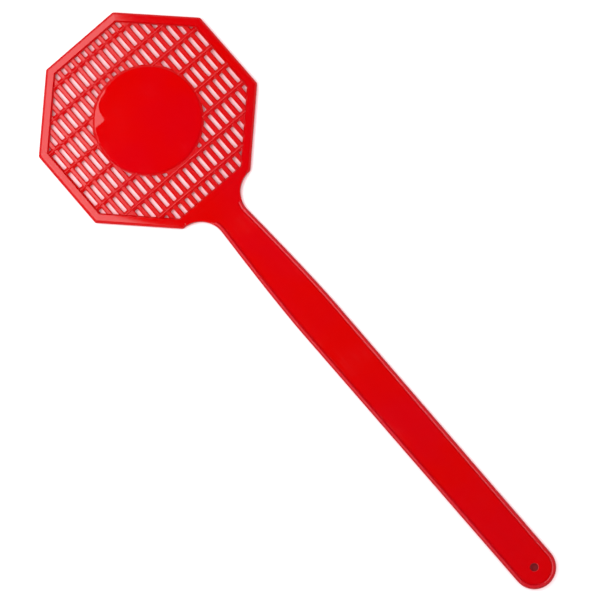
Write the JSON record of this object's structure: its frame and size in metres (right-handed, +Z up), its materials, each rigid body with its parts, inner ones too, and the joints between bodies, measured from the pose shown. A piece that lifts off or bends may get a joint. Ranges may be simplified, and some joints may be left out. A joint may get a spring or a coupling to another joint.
{
  "type": "fly swatter",
  "caption": "Fly swatter with a slotted octagonal head, a solid centre disc, a notched flexing neck and a flat ribbed handle with a hanging hole.",
  "frame": {"origin": "under the middle of the whole length, on the surface that the swatter lies on", "axes": "+X along the handle, from the head to the hanging hole; +Z up, square to the flat of the head"},
  "size_m": [0.3616, 0.108, 0.0036],
  "materials": {
    "rim_plastic": "glossy moulded red plastic",
    "grille_plastic": "glossy moulded red plastic",
    "disc_plastic": "glossy moulded red plastic, smooth and plain",
    "neck_plastic": "glossy moulded red plastic",
    "handle_plastic": "glossy moulded red plastic",
    "rib_plastic": "glossy moulded red plastic, edges rounded"
  },
  "bodies": {
    "handle": {"handle_panel": "handle_plastic", "handle_rib": "rib_plastic", "hang_end": "handle_plastic", "neck_web": "neck_plastic"},
    "head": {"head_rim": "rim_plastic", "grille": "grille_plastic", "centre_disc": "disc_plastic"}
  },
  "joints": [
    {"name": "neck_flex", "type": "hinge", "parent": "handle", "child": "head", "pos_m": [-0.0682, 0, 0.0018], "axis": [0, 1, 0], "range_deg": [-20, 20], "stiffness_Nm_per_rad": 1.1, "deforming": ["neck_web"]}
  ]
}
